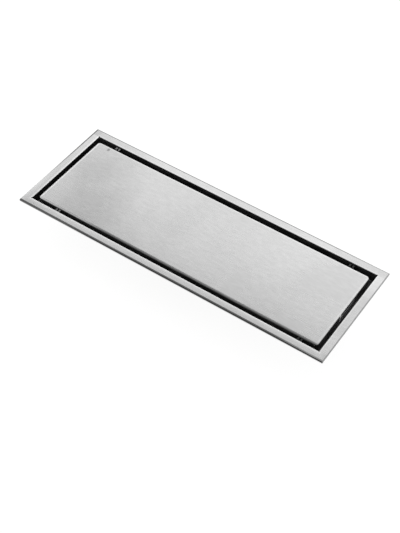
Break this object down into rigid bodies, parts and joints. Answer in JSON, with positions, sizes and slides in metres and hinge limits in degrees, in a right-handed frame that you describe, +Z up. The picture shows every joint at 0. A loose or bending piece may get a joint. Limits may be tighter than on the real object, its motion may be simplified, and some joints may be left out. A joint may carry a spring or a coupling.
{
  "type": "tile insert floor drain",
  "caption": "Rectangular stainless floor drain with a folded rim frame, a lift-out tile-insert cover, a sloped pan and a water-seal trap in a round outlet spigot.",
  "frame": {"origin": "centre of the outlet spigot's lower end, on which the drain stands", "axes": "+X along the long side, +Y from the front long side to the back one, +Z up towards the finished floor"},
  "size_m": [0.3, 0.11, 0.045],
  "materials": {
    "stainless": "fine brushed stainless steel",
    "trap_plastic": "satin moulded plastic",
    "seal_rubber": "matt moulded rubber"
  },
  "bodies": {
    "root": {"rim_frame": "stainless", "drain_pan": "stainless", "outlet_spigot": "stainless", "cover_tray": "stainless", "hair_strainer": "stainless", "support_clip_front_left": "stainless", "support_clip_front_right": "stainless", "support_clip_back_left": "stainless", "support_clip_back_right": "stainless", "trap_dip_tube": "trap_plastic", "trap_cup": "trap_plastic", "trap_seal_ring": "seal_rubber"}
  },
  "joints": []
}
